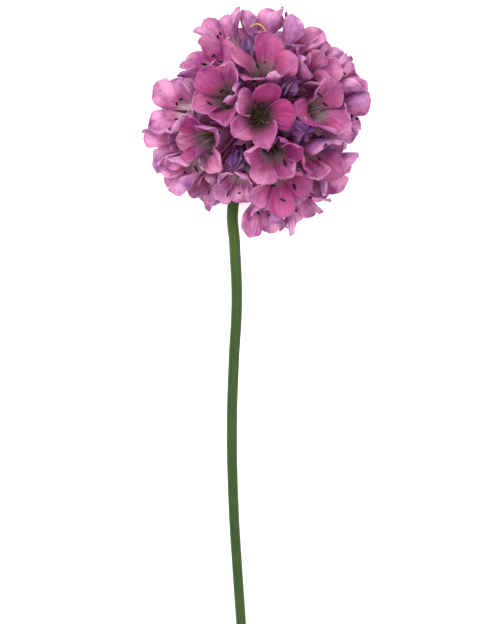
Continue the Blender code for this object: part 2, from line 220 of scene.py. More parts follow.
# Lean from straight up, bearing (0 is +X, 90 is +Y), rise of the throat in millimetres, turn of the
# petals and how far they would open, in degrees.
FLORETS = (
    (2, 34, 1.6, 38, 80),
    (25, 145, 0.8, -14, 76),
    (31, 79, 1.3, 8, 66),
    (56, 131, 0.4, 20, 62),
    (73, 111, 1.6, 36, 44),
    (75, 88, 1.7, 36, 40),
    (71, 62, 0.8, 36, 44),
    (52, 43, 0.0, 19, 72),
    (74, 27, 1.2, 30, 46),
    (45, 8, 1.2, 40, 70),
    (77, 6, 1.7, 30, 44),
    (71, -33, 1.0, 40, 44),
    (47, -68, 1.4, 50, 64),
    (26, -64, 0.6, 18, 76),
    (51, -107, -0.2, 24, 50),
    (64, -145, 0.6, 12, 52),
    (42, -158, 0.7, 44, 60),
    (54, 174, 1.4, 36, 50),
    (79, -166, 1.4, 30, 46),
    (75, -128, 0.2, 36, 42),
    (47, -31, 0.2, 0, 68),
    (75, -84, 1.3, 6, 42),
    (97, 148, -3.2, 50, 50),
    (95, -12, -1.8, 12, 40),
    (99, 176, -2.4, 0, 44),
    (95, -146, -1.6, 40, 58),
    (84, 45, 0.8, 36, 42),
    (99, 24, -1.6, 60, 66),
    (94, -40, -1.4, 30, 66),
    (105, 98, -1.4, 16, 66),
    (117, -163, -1.5, 44, 66),
    (120, 160, -2.3, 10, 66),
    (107, 126, -2.2, 52, 66),
    (122, 70, -1.3, 28, 66),
    (121, 41, -1.8, 4, 66),
    (117, -4, -1.4, 38, 66),
    (122, -34, -1.5, 20, 66),
    (82, -62, 1.2, 30, 40),
    (121, -130, -1.4, 12, 62),
    (144, -82, 0.6, 34, 66),
    (142, 100, 0.4, 0, 66),
    (147, -165, 0.5, 24, 66),
    (144, 142, 0.3, 62, 66),
    (148, 45, 0.7, 18, 66),
    (150, -10, 0.5, 46, 66),
    (172, -40, 0.6, 8, 70),
)
# The same for the buds: lean, bearing and rise, and then how stout each is.
BUDS = (
    (33, 116, 2.2, 1.0),
    (57, 96, 2.0, 0.95),
    (31, 44, 2.6, 1.0),
    (28, -16, 3.0, 1.5),
    (34, -116, 1.4, 1.0),
    (61, -20, 2.4, 1.05),
)


def axes_about(axis):
    """Two unit vectors square to the axis, the first pointing away from straight up."""
    first = (axis * axis.z - Vector((0, 0, 1))).normalized()
    return first, axis.cross(first)


def axes_towards(lean, bearing):
    """The unit vector that leans this far from +Z towards the bearing, in degrees, and two square to it."""
    lean, bearing = radians(lean), radians(bearing)
    across = sin(lean)
    axis = Vector((across * cos(bearing), across * sin(bearing), cos(lean)))
    return axis, *axes_about(axis)


def smooth(share):
    """A soft step: 0 up to 0, 1 from 1 on, and level at both ends."""
    share = min(max(share, 0), 1)
    return share * share * (3 - 2 * share)


floret_axes = [axes_towards(lean, bearing) for lean, bearing, *_ in FLORETS]
bud_axes = [axes_towards(lean, bearing) for lean, bearing, *_ in BUDS]

# Living plant tissue, green and fibrous, matt. Its fibres are 0.4 mm apart.
seat_tissue = new_material("seat_tissue")
place = add_node(seat_tissue, "TexCoord", {}).outputs["Object"]
fibres = add_node(seat_tissue, "TexNoise", {"Vector": place, "Scale": 2500, "Detail": 3})
green = add_node(seat_tissue, "Mix", {0: fibres, 6: "#3c4a22", 7: "#7d7a46"}, **COLOURS)
bump = add_node(seat_tissue, "Bump", {"Height": fibres, "Strength": 0.5, "Distance": 0.0002})
matt = add_node(seat_tissue, "BsdfPrincipled", {"Base Color": green, "Roughness": 0.7, "Normal": bump})
add_node(seat_tissue, "OutputMaterial", {"Surface": matt})

bpy.ops.object.select_all(action="DESELECT")
bpy.ops.mesh.primitive_ico_sphere_add(subdivisions=5, radius=RECEPTACLE_RADIUS)
receptacle = named("receptacle_knob")
for vertex in receptacle.data.vertices:
    outward = vertex.co.normalized()
    nearest = max(axis.dot(outward) for axis, *_ in floret_axes + bud_axes)
    seat = smooth((nearest - SEAT_COSINES[0]) / (SEAT_COSINES[1] - SEAT_COSINES[0]))
    ripple = sin(14 * outward.x) * sin(15 * outward.y + 1) * sin(13 * outward.z + 2)
    reach = RECEPTACLE_RADIUS - KNOB_SUNK + SEAT_HEIGHT * seat + KNOB_RIPPLE * ripple
    vertex.co = at_centre(outward * reach)
finish_piece(receptacle, seat_tissue, slot="receptacle", replaced=["receptacle"])


# ----------------------------
# Sheath and bracts: dry papery scales under the head. The sheath is a thin brown tube that grew back
# down over the top of the stem and tore along its lower rim. Five bracts stand round it like a cup.

SHEATH_REACH = (5.4, 13.4)
SHEATH_RADIUS = 1.6
SHEATH_WALL = 0.16
SHEATH_FLARE = 0.25
BRACTS = 5
BRACT_BASE = (4.7, 1.8)
BRACT_TIP = (10.6, 3.9)
BRACT_WIDTH = 4.2
BRACT_SHAPE = ((0, 0.42), (0.5, 1.0), (0.85, 0.75), (1, 0.25))
BRACT_THICKNESS = 0.14
BRACT_KEEL = 0.12  # how deep the crease down its middle is
BRACT_GAP = 0.08  # the least angle from its middle line's share of the round to its rim


def profile(points, share):
    """The value at a share of the way along a line of (share, value) points."""
    for (start, value), (end, after) in zip(points, points[1:]):
        if share <= end:
            return value + (after - value) * (share - start) / (end - start)
    return points[-1][1]


def along_axis(axis, turn=0):
    """Stands a piece made along +Z in millimetres on the head's middle, turned about the axis."""
    turned = Matrix((*axes_about(axis), axis)).transposed().to_4x4() @ Matrix.Scale(MM, 4)
    turned = turned @ Matrix.Rotation(radians(turn), 4, "Z")
    turned.translation = HEAD_CENTRE
    return turned


def new_grid(name, columns, rows):
    """A flat grid from -1 to 1 each way."""
    bpy.ops.object.select_all(action="DESELECT")
    bpy.ops.mesh.primitive_grid_add(x_subdivisions=columns, y_subdivisions=rows, size=2)
    return named(name)


def roll_up(grid, radius_at, reach_at=lambda share, angle: share):
    """Rolls a grid into a tube round +Z and closes its seam. Both rules take the share and the angle."""
    for vertex in grid.data.vertices:
        angle, share = pi * vertex.co.x, (vertex.co.y + 1) / 2
        radius = radius_at(share, angle)
        vertex.co = (radius * cos(angle), radius * sin(angle), reach_at(share, angle))
    bpy.ops.object.mode_set(mode="EDIT")
    bpy.ops.mesh.select_all(action="SELECT")
    bpy.ops.mesh.remove_doubles(threshold=0.001)
    bpy.ops.mesh.normals_make_consistent(inside=False)
    bpy.ops.object.mode_set(mode="OBJECT")


def thicken(piece, thickness, back_material=0):
    """Gives a sheet its thickness, half on each side, and its back the next material."""
    select(piece)
    wall = piece.modifiers.new("Thickness", "SOLIDIFY")
    wall.thickness = thickness
    wall.offset = 0
    wall.material_offset = back_material
    bpy.ops.object.modifier_apply(modifier=wall.name)


# Dry plant paper: brown, matt and a little see-through. Its fibres are 0.25 mm apart.
scale_paper = new_material("scale_paper")
place = add_node(scale_paper, "TexCoord", {}).outputs["Object"]
fibres = add_node(scale_paper, "Mapping", {"Vector": place, "Scale": (4000, 350, 4000)})
grain = add_node(scale_paper, "TexNoise", {"Vector": fibres, "Scale": 1, "Detail": 3})
blotches = add_node(scale_paper, "TexNoise", {"Vector": place, "Scale": 400})
brown = add_node(scale_paper, "Mix", {0: grain, 6: "#6f4f33", 7: "#c4a27c"}, **COLOURS)
brown = add_node(scale_paper, "Mix", {0: blotches, 6: brown, 7: "#a88a6a"}, **COLOURS)
bump = add_node(scale_paper, "Bump", {"Height": grain, "Strength": 0.4, "Distance": 0.0001})
front = add_node(scale_paper, "BsdfPrincipled", {"Base Color": brown, "Roughness": 0.75, "Normal": bump})
through = add_node(scale_paper, "BsdfTranslucent", {"Color": brown})
paper = add_node(scale_paper, "MixShader", {0: 0.25, 1: front, 2: through})
add_node(scale_paper, "OutputMaterial", {"Surface": paper})


def sheath_radius(share, angle):
    wrinkle = 0.05 * sin(7 * angle + 3 * share) + 0.04 * sin(11 * angle)
    return SHEATH_RADIUS + (SHEATH_FLARE * share**2 + wrinkle) * smooth(3 * share)


def sheath_reach(share, angle):
    torn = 0.5 * sin(3 * angle) + 0.45 * sin(8 * angle + 1) + 0.3 * sin(17 * angle)
    return SHEATH_REACH[0] + (SHEATH_REACH[1] - SHEATH_REACH[0] + torn) * share


sheath = new_grid("sheath_tube", 40, 12)
roll_up(sheath, sheath_radius, sheath_reach)
thicken(sheath, SHEATH_WALL)
sheath.data.transform(along_axis(STEM_AXIS))
finish_piece(sheath, scale_paper, slot="papery_scale", replaced=["sheath"])

for k in range(BRACTS):
    bract = new_grid(f"bract_{k + 1}_scale", 8, 10)
    facing = 2 * pi * k / BRACTS
    for vertex in bract.data.vertices:
        side, share = vertex.co.x, (vertex.co.y + 1) / 2
        width = BRACT_WIDTH * profile(BRACT_SHAPE, share)
        along = BRACT_BASE[0] + (BRACT_TIP[0] - BRACT_BASE[0]) * share * (1.03 - 0.06 * side**2)
        out = BRACT_BASE[1] + (BRACT_TIP[1] - BRACT_BASE[1]) * share
        out -= BRACT_KEEL * exp(-((side / 0.2) ** 2))
        out += 0.1 * sin(9 * share + 2 * k) * side**2
        angle = facing + side * min(width / 2 / out, pi / BRACTS - BRACT_GAP)
        vertex.co = (out * cos(angle), out * sin(angle), along)
    thicken(bract, BRACT_THICKNESS)
    bract.data.transform(along_axis(STEM_AXIS))
    finish_piece(bract, scale_paper, slot="papery_scale", replaced=[f"bract_{k + 1}"])


# ----------------------------
# Calyxes: each floret stands on a thin stalk that widens into a ribbed funnel, flushed pink. Its rim is
# a papery collar with five teeth, and the corolla grows out of it.

THROAT_REACH = 11.4
COLLAR_REACH = 13.0
CALYX_SHAPE = ((0, 0.5), (0.22, 0.62), (0.36, 0.9), (0.6, 1.2), (0.82, 1.62), (0.93, 1.95), (1, 2.3))
CALYX_RIBS = 10
CALYX_WALL = 0.12
PETALS = 5
RISE_LENGTH = 4  # a taller or shorter floret's stalk takes up its rise over this length


def calyx_radius(share, angle):
    rib = 0.08 * cos(CALYX_RIBS * angle) * smooth((share - 0.25) / 0.2)
    return profile(CALYX_SHAPE, share) * (1 + rib)


def calyx_reach(share, angle):
    tooth = 0.5 * cos(PETALS * angle) + 0.12 * sin(13 * angle)
    return FOOT_REACH + (COLLAR_REACH - FOOT_REACH) * share + tooth * share**8


def copy_of(pattern, name):
    """A copy of the pattern with its own mesh."""
    piece = pattern.copy()
    piece.data = pattern.data.copy()
    piece.name = piece.data.name = name
    bpy.context.scene.collection.objects.link(piece)
    return piece


def lengthen(piece, rise):
    """Lengthens or shortens the stalk at the foot of an upright piece, and so raises the rest of it."""
    for vertex in piece.data.vertices:
        vertex.co.z += rise * smooth((vertex.co.z - FOOT_REACH) / RISE_LENGTH)


# Thin living plant paper, matt, and rose like the petals. A third of the light goes through it. Its
# specks are 0.55 mm apart, and stronger towards its rim.
calyx_paper = new_material("calyx_paper")
uv = add_node(calyx_paper, "UVMap", {}, uv_map="UVMap")
along = add_node(calyx_paper, "SeparateXYZ", {"Vector": uv}).outputs[1]
place = add_node(calyx_paper, "TexCoord", {}).outputs["Object"]
rim = add_node(calyx_paper, "MapRange", {"Value": along, "From Min": 0.45, "From Max": 0.9}, **SOFT)
specks = add_node(calyx_paper, "TexNoise", {"Vector": place, "Scale": 1800})
foot = add_node(calyx_paper, "Mix", {0: specks, 6: "#c45ea6", 7: "#dc8cc2"}, **COLOURS)
collar = add_node(calyx_paper, "Mix", {0: specks, 6: "#be58a0", 7: "#dea0c8"}, **COLOURS)
rose = add_node(calyx_paper, "Mix", {0: rim, 6: foot, 7: collar}, **COLOURS)
front = add_node(calyx_paper, "BsdfPrincipled", {"Base Color": rose, "Roughness": 0.65})
through = add_node(calyx_paper, "BsdfTranslucent", {"Color": rose})
paper = add_node(calyx_paper, "MixShader", {0: 0.35, 1: front, 2: through})
add_node(calyx_paper, "OutputMaterial", {"Surface": paper})

calyx_pattern = new_grid("calyx_pattern", 2 * CALYX_RIBS, 11)
roll_up(calyx_pattern, calyx_radius, calyx_reach)
thicken(calyx_pattern, CALYX_WALL)
for i, ((axis, *_), (_, _, rise, turn, _)) in enumerate(zip(floret_axes, FLORETS)):
    calyx = copy_of(calyx_pattern, f"floret_{i + 1:02d}_calyx")
    lengthen(calyx, rise)
    calyx.data.transform(along_axis(axis, turn + 180 / PETALS))
    finish_piece(calyx, calyx_paper, slot="papery_scale")


# ----------------------------
# Chaff: two papery scales stand by every calyx and half wrap it. They grew from the knob as the florets
# did, and fill the gaps between them.

CHAFF_REACH = (4.4, 13.2)
CHAFF_OUT = (0.75, 3.0)
CHAFF_WIDTH = 5.2
CHAFF_SHAPE = ((0, 0.4), (0.4, 1.0), (0.75, 0.9), (1, 0.3))
CHAFF_TURNS = (0, 165)  # where the two scales of a floret stand, in degrees
CHAFF_STEP = 137.5  # from one floret's first scale to the next floret's, the golden angle
WIDEST_WRAP = 1.4

chaff_pattern = new_grid("chaff_pattern", 5, 6)
for vertex in chaff_pattern.data.vertices:
    side, share = vertex.co.x, (vertex.co.y + 1) / 2
    width = CHAFF_WIDTH * profile(CHAFF_SHAPE, share)
    out = CHAFF_OUT[0] + (CHAFF_OUT[1] - CHAFF_OUT[0]) * share
    reach = CHAFF_REACH[0] + (CHAFF_REACH[1] - CHAFF_REACH[0]) * share * (1.03 - 0.1 * side**2)
    angle = side * min(width / 2 / out, WIDEST_WRAP)
    vertex.co = (out * cos(angle), out * sin(angle), reach)
thicken(chaff_pattern, CALYX_WALL)
for i, ((axis, *_), (_, _, rise, turn, _)) in enumerate(zip(floret_axes, FLORETS)):
    for k, around in enumerate(CHAFF_TURNS):
        chaff = copy_of(chaff_pattern, f"floret_{i + 1:02d}_chaff_{k + 1}")
        lengthen(chaff, min(rise, 0))
        chaff.data.transform(along_axis(axis, turn + CHAFF_STEP * i + around))
        finish_piece(chaff, calyx_paper, slot="papery_scale")


# ----------------------------
# Corollas: each is five petals joined at their claws, thin as tissue. The claws stand up in a tube and
# the blades spread, but the florets crowd, so every petal opens only as far as the others let it.

# How a floret and a petal grow
THROAT_RADIUS = 1.25
CALYX_FOOT_RADIUS = 0.4
PETAL_LENGTH = 9.8
PETAL_HALF_WIDTH = 3.3
CLAW_HALF_WIDTH = 0.72
CLAW_ANGLE = 12  # a petal leaves the throat at this angle to the floret's axis, in degrees
CLAW_SHARE = 0.12  # the share of a petal's length that stands straight
BEND_SHARE = 0.5  # the share of its length over which it bends into the spread blade
BLADE_SHARE = 0.74  # where the blade is widest
ROUND_SHARE = 0.65  # where it starts to narrow to the tip
SIDE_LENGTH = 0.95  # the length of a petal's sides, and how much longer its middle is
TIP_BULGE = 0.055
LINE_STEPS = 14

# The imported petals, which have to clear each other, the buds, the stem and the table
SOLID_THICKNESS = 0.3
SOLID_ROWS = (0.3, 0.52, 0.76, 1.0)
SOLID_SIDES = (-1, 0, 1)
SOLID_TIP_ROUNDING = 0.66
CLEARANCE = 0.1
GROWN = SOLID_THICKNESS / 2 + CLEARANCE  # half a petal and the gap that it keeps
LEAST_ROOM = 0.15
HEAD_HEIGHT = 19.7  # the head's centre above the table
PRESSED = 1.2  # petals bend along the table within this distance of it
OPEN_WAY = 6.0  # petals keep off another floret's throat, up to this height
OPEN_WAY_RADIUS = 2.0
BUD_RADIUS = 1.3
BUD_SHAPE = ((6.6, 1.0), (8.2, 1.0), (10.2, 1.0), (12.2, 0.62), (12.9, 0.12))  # reach past its foot, share
SHEATH_STEP = 0.5  # past the bracts' tips, their outline drops to the sheath's over this length
HEAD_CLEARED = 30.0  # the stem is clear of the head's petals this far out
ROD_SIDES = 10
NEAR = 0.45  # florets whose axes are further apart than this cosine can't touch

# How the head opens
CLOSED_OPENINGS = (12, 6, 0, -8)
OPENING_ROUNDS = 18
HIGH_THROAT = 12.8  # florets with lower throats than this start to open later,
WAIT_PER_STEP = 6  # by this many rounds for each millimetre,
LONGEST_WAIT = 14  # and by this many at most
LEAST_WIDTH = 0.35
# Florets with smaller petals, and single petals of a floret that are smaller still, since its
# neighbours shade them
SMALLER = {
    4: 0.9, 12: 0.92, 13: 0.88, 15: 0.8, 17: 0.88, 20: 0.8, 23: 0.85, 24: 0.85,
    (5, 2): 0.6, (6, 2): 0.6, (7, 2): 0.65, (9, 0): 0.93, (9, 2): 0.6, (11, 2): 0.65, (11, 3): 0.72,
    (11, 4): 0.7, (12, 2): 0.6, (13, 2): 0.7, (16, 2): 0.6, (18, 2): 0.7, (19, 2): 0.65, (19, 3): 0.85,
    (20, 2): 0.6, (22, 2): 0.6, (22, 3): 0.65, (27, 0): 0.93, (27, 2): 0.6, (38, 2): 0.6,
}

# The fine petals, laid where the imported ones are
PETAL_THICKNESS = 0.13
TIP_ROUNDING = 0.97
LAP = 1.12  # a soft petal spreads past its fifth of the floret by this much
CREASE_WIDTH = 0.6
NOTCH_WIDTH = 0.3  # as a share of the petal's half width

draw = random.Random(41)
looks = random.Random(7)


def above_surface(point):
    """The point, bent up along the table if it would come too near to it."""
    deepest = HEAD_HEIGHT - SOLID_THICKNESS / 2
    excess = -point.z - (deepest - PRESSED)
    if excess <= 0:
        return point
    return Vector((point.x, point.y, PRESSED * exp(-excess / PRESSED) - deepest))


def obstacle(axes, outline):
    """A rod turned round the axis from (reach, radius) points, as a search tree for the petals to clear."""
    axis, first, second = axes
    bm = bmesh.new()
    angles = [2 * pi * i / ROD_SIDES for i in range(ROD_SIDES)]
    rings = []
    for reach, radius in outline:
        spokes = [(first * cos(a) + second * sin(a)) * (radius + GROWN) for a in angles]
        rings.append([bm.verts.new(axis * reach + spoke) for spoke in spokes])
    bm.faces.new(rings[0])
    for low, high in zip(rings, rings[1:]):
        for i in range(ROD_SIDES):
            bm.faces.new((low[i - 1], low[i], high[i], high[i - 1]))
    bm.faces.new(rings[-1])
    tree = BVHTree.FromBMesh(bm)
    bm.free()
    return axis, tree


class Petal:
    """A petal: its claw stands up from the throat, and its blade spreads as far as there is room."""

    def __init__(self, axes, throat, turn, spread, size):
        self.throat = throat
        self.length = size * draw.uniform(0.88, 1.1)
        self.width = size * draw.uniform(0.86, 1.1)
        self.cup = draw.uniform(0.3, 1.7)
        self.twist = radians(draw.uniform(-6, 26))
        self.stray = radians(draw.uniform(-8, 8))
        self.full_curl = draw.uniform(-25, 45)
        self.full_opening = spread + draw.uniform(-22, 10)
        self.wait = min(max((HIGH_THROAT - throat) * WAIT_PER_STEP, 0), LONGEST_WAIT)
        self.opening = CLAW_ANGLE
        self.tree = None
        self.fixed = []
        self.rivals = []
        self.axis, first, second = axes
        self.out = first * cos(turn + self.stray) + second * sin(turn + self.stray)
        self.across = self.axis.cross(self.out)
        self.ruffle = looks.uniform(0.1, 0.3) + 0.35 * max(self.axis.z, 0)
        self.rolled = looks.uniform(-0.5, 0.9)
        self.flip = looks.uniform(-0.5, 0.9)
        self.phase = looks.uniform(0, 6.28)
        self.crease = looks.uniform(0.1, 0.5)
        self.notch = looks.uniform(0, 0.8)
        # Paleness: the random part is the petal's own tone; the part that grows as the floret leans out to
        # the rim is painted light, glowing through petals lit from behind.
        self.paleness_and_light = looks.uniform(0, 0.4) + 0.65 * smooth((0.85 - self.axis.z) / 0.7)

    def line(self):
        """The petal's middle line: out from the floret's axis, up from the throat, angle to the axis."""
        curl = self.full_curl * min(max(self.opening / self.full_opening, 0), 1)
        start, end, curl = map(radians, (CLAW_ANGLE, self.opening, curl))
        step = PETAL_LENGTH / LINE_STEPS
        out, up, line = THROAT_RADIUS, 0.0, []
        for i in range(LINE_STEPS + 3):
            share = i / LINE_STEPS
            angle = start + (end - start) * smooth((share - CLAW_SHARE) / BEND_SHARE) + curl * share**3
            line.append((out, up, angle))
            out += sin(angle) * step
            up += cos(angle) * step
        return line

    def point(self, line, side, share, fine=False):
        """A point of the petal, side from -1 to 1 across it and share from 0 to 1 along it.

        The fine petal has what the solid one lacks: soft sides, ruffled rims, a creased middle and a
        nicked tip."""
        widening = smooth((share - CLAW_SHARE) / (BLADE_SHARE - CLAW_SHARE))
        half_width = CLAW_HALF_WIDTH + (self.width * PETAL_HALF_WIDTH - CLAW_HALF_WIDTH) * widening
        rounding = max(share - ROUND_SHARE, 0) / (1 - ROUND_SHARE)
        narrowing = TIP_ROUNDING * rounding**2.7 if fine else SOLID_TIP_ROUNDING * rounding**2
        half_width *= sqrt(1 - narrowing)
        along = share * (SIDE_LENGTH + TIP_BULGE * (1 - side**2) * share**2) * self.length * LINE_STEPS
        if fine:
            along -= self.notch * rounding**3 * exp(-((side / NOTCH_WIDTH) ** 2))
        i = min(int(along), LINE_STEPS + 1)
        out, up, angle = (a + (b - a) * (along - i) for a, b in zip(line[i], line[i + 1]))
        x = side * half_width * cos(self.twist * widening)
        lift = side * half_width * sin(self.twist * widening)
        lift += self.cup * widening * (x / PETAL_HALF_WIDTH) ** 2
        half_wedge = pi / PETALS - side * self.stray
        room = (out - lift * cos(angle)) * tan(half_wedge)
        if fine:
            room = max(room * LAP, CLAW_HALF_WIDTH)
            x /= (1 + abs(x / room) ** 6) ** (1 / 6)
            wave = sin(7 * share + self.phase + 2 * side)
            wave += 0.5 * sin(17 * share * side + 3 * self.phase)
            lift += self.ruffle * widening * side**2 * wave + self.rolled * widening * side**4
            lift += self.flip * rounding**2
            lift -= self.crease * widening * exp(-((x / CREASE_WIDTH) ** 2))
        else:
            room -= GROWN / cos(half_wedge)
            room = max(room, LEAST_ROOM)
            x = max(-room, min(x, room))
        inward = self.axis * sin(angle) - self.out * cos(angle)
        middle = self.axis * (self.throat + up) + self.out * out
        return above_surface(middle + self.across * x + inward * lift)

    def shell(self):
        """The solid petal's closed skin, with the clearance on it, as a search tree."""
        bm = bmesh.new()
        line = self.line()
        rows = [[self.point(line, side, share) for side in SOLID_SIDES] for share in (0, *SOLID_ROWS)]
        rows = [[bm.verts.new(point) for point in row] for row in rows]
        for (a, b, c), (d, e, f) in zip(rows, rows[1:]):
            for corners in ((a, b, d), (b, e, d), (b, c, f), (b, f, e)):
                bm.faces.new(corners)
        bm.normal_update()
        bm.verts.index_update()
        points = [v.co + v.normal * GROWN for v in bm.verts] + [v.co - v.normal * GROWN for v in bm.verts]
        faces = [[v.index for v in face.verts] for face in bm.faces]
        count = len(bm.verts)
        faces += [[i + count for i in face] for face in faces]
        rims = [[v.index for v in edge.verts] for edge in bm.edges if edge.is_boundary]
        faces += [(a, b, b + count, a + count) for a, b in rims]
        bm.free()
        return BVHTree.FromPolygons(points, faces)

    def try_opening(self, opening):
        """Takes this opening if the petal then clears all round it, and says whether it does."""
        before = self.opening
        self.opening = opening
        tree = self.shell()
        others = self.fixed + [petal.tree for petal in self.rivals if petal.tree]
        if any(tree.overlap(other) for other in others):
            self.opening = before
            return False
        self.tree = tree
        return True

    def start_closed(self):
        """Finds room for the petal while it is closed. It gets smaller until there is some."""
        while not any(self.try_opening(opening) for opening in CLOSED_OPENINGS) and self.width > LEAST_WIDTH:
            self.width *= 0.85
            self.length *= 0.93


outline = [BRACT_BASE, BRACT_TIP, (BRACT_TIP[0] + SHEATH_STEP, SHEATH_RADIUS)]
outline += [(SHEATH_REACH[1], SHEATH_RADIUS), (HEAD_CLEARED, STEM_TOP_RADIUS)]
fixed = [obstacle((STEM_AXIS, *axes_about(STEM_AXIS)), outline)]
for axes, (_, _, rise, girth) in zip(bud_axes, BUDS):
    outline = [(FOOT_REACH + reach + rise, BUD_RADIUS * girth * share) for reach, share in BUD_SHAPE]
    fixed.append(obstacle(axes, [(FOOT_REACH, CALYX_FOOT_RADIUS), *outline]))
tubes = []
for axes, (_, _, rise, _, _) in zip(floret_axes, FLORETS):
    throat = THROAT_REACH + rise
    outline = [(FOOT_REACH, CALYX_FOOT_RADIUS), (throat, THROAT_RADIUS)]
    tubes.append(obstacle(axes, [*outline, (throat + OPEN_WAY, OPEN_WAY_RADIUS)]))
corollas = []
for i, (axes, (_, _, rise, turn, spread)) in enumerate(zip(floret_axes, FLORETS)):
    turns = [radians(turn + 360 / PETALS * k) for k in range(PETALS)]
    sizes = [SMALLER.get(i + 1, 1) * SMALLER.get((i + 1, k), 1) for k in range(PETALS)]
    corolla = [Petal(axes, THROAT_REACH + rise, angle, spread, size) for angle, size in zip(turns, sizes)]
    for petal in corolla:
        around = fixed + tubes[:i] + tubes[i + 1 :]
        petal.fixed = [tree for axis, tree in around if axis.dot(axes[0]) > NEAR]
    corollas.append(corolla)
for corolla in corollas:
    rivals = [petal for other in corollas if other is not corolla for petal in other]
    rivals = [petal for petal in rivals if petal.axis.dot(corolla[0].axis) > NEAR]
    for petal in corolla:
        petal.rivals = rivals
        petal.start_closed()
for step in range(1, OPENING_ROUNDS + LONGEST_WAIT + 1):
    for corolla in corollas:
        for petal in corolla:
            share = min(max((step - petal.wait) / OPENING_ROUNDS, 0), 1)
            petal.try_opening(CLAW_ANGLE + (petal.full_opening - CLAW_ANGLE) * share)


def petal_material(name, throat, claw, deep, pale, cast, vein):
    """A living petal: a thin wet film of cells, satin, that lets half of the light through.

    The throat is dark: its own olive, with painted shade of the deep tube. The claw is pale and greenish.
    The blade pales to its tip as far as the petal is pale, and is clouded with the cast. Fine veins 0.3 mm
    apart run along it, and shallow pleats 1.1 mm wide. One attribute is how pale the petal is: partly its
    own tone, partly painted light glowing through rim petals lit from behind. The other is how far painted
    shade darkens its throat and claw."""
    material = new_material(name)
    uv = add_node(material, "UVMap", {}, uv_map="UVMap")
    along = add_node(material, "SeparateXYZ", {"Vector": uv}).outputs[1]
    place = add_node(material, "TexCoord", {}).outputs["Object"]
    paleness_and_light = add_node(material, "Attribute", {}, attribute_name="paleness_and_light").outputs["Fac"]
    throat_shade = add_node(material, "Attribute", {}, attribute_name="throat_shade").outputs["Fac"]
    shift = add_node(material, "Math", {0: throat_shade, 1: 0.7, 2: 1.0}, operation="MULTIPLY_ADD")
    shift = add_node(material, "Math", {0: paleness_and_light, 1: 0.3, 2: shift}, operation="MULTIPLY_ADD")
    depth = add_node(material, "Math", {0: along, 1: shift}, operation="DIVIDE")
    shaded_throat_end, claw_end = [
        add_node(material, "MapRange", {"Value": depth, "From Min": start, "From Max": end}, **SOFT)
        for start, end in ((0.0, 0.18), (0.16, 0.44))
    ]
    tip = add_node(material, "MapRange", {"Value": along, "From Min": 0.4})
    # Painted light: the blade pales to its tip by the petal's paleness, so rim petals glow as if lit through
    # from behind.
    paler = add_node(material, "MapRange", {"Value": paleness_and_light, "To Min": 0.05, "To Max": 1.7})
    paler = add_node(material, "Math", {0: tip, 1: paler}, operation="MULTIPLY")
    clouds = add_node(material, "TexNoise", {"Vector": place, "Scale": 330, "Detail": 3})
    cloud = add_node(material, "MapRange", {"Value": clouds, "From Min": 0.42, "From Max": 0.72})
    lengthways = []
    for size in ((24, 2.4, 1), (6, 1.3, 1)):  # how many lie across a petal and along it
        drawn_out = add_node(material, "Mapping", {"Vector": uv, "Scale": size})
        spot = add_node(
            material, "VectorMath", {0: place, 1: (250, 250, 250), 2: drawn_out}, operation="MULTIPLY_ADD"
        )
        lengthways.append(add_node(material, "TexNoise", {"Vector": spot, "Scale": 1}))
    veins, pleats = lengthways
    veined = add_node(
        material, "MapRange", {"Value": veins, "From Min": 0.45, "From Max": 0.7, "To Max": 0.3}
    )
    blade = add_node(material, "Mix", {0: paler, 6: deep, 7: pale}, **COLOURS)
    blade = add_node(material, "Mix", {0: cloud, 6: blade, 7: cast}, **COLOURS)
    blade = add_node(material, "Mix", {0: veined, 6: blade, 7: vein}, **COLOURS)
    # The claw pales towards near white by the same paleness, partly painted light from behind.
    claw = add_node(material, "Mix", {0: paleness_and_light, 6: claw, 7: "#fdf0f2"}, **COLOURS)
    dark = add_node(material, "Mix", {0: veined, 6: claw, 7: throat}, **COLOURS)
    # Painted shade: in florets seen far down their tubes, the claw darkens to the throat colour.
    claw = add_node(material, "Mix", {0: throat_shade, 6: dark, 7: throat}, **COLOURS)
    # Each petal's foot, and the tube below it, takes the throat colour: its own olive with painted shade of
    # the deep tube.
    foot = add_node(material, "Mix", {0: shaded_throat_end, 6: throat, 7: claw}, **COLOURS)
    colour = add_node(material, "Mix", {0: claw_end, 6: foot, 7: blade}, **COLOURS)
    bump = add_node(material, "Bump", {"Height": veins, "Strength": 0.35, "Distance": 0.0001})
    bump = add_node(
        material, "Bump", {"Height": pleats, "Strength": 0.8, "Distance": 0.0008, "Normal": bump}
    )
    front = add_node(
        material, "BsdfPrincipled", {"Base Color": colour, "Roughness": 0.55, "IOR": 1.36, "Normal": bump}
    )
    through = add_node(material, "BsdfTranslucent", {"Color": colour, "Normal": bump})
    film = add_node(material, "MixShader", {0: 0.5, 1: front, 2: through})
    add_node(material, "OutputMaterial", {"Surface": film})
    return material


# The upper side is rose pink, and the under side is duller and more lilac.
# Each material's first colour is its dark throat, its own olive with painted shade on it.
petal_face = petal_material("petal_face", "#6b5250", "#cfa6b0", "#c13b88", "#f7bcdf", "#b24b94", "#922668")
petal_back = petal_material("petal_back", "#5a5232", "#cfaab0", "#bb529c", "#ebbbde", "#a561b0", "#8e3a84")

# The flat petal, one grid that all the petals are copied from, and the tube that their claws grow from.
TUBE_DEPTH = 4.5
TUBE_FOOT_RADIUS = 0.5
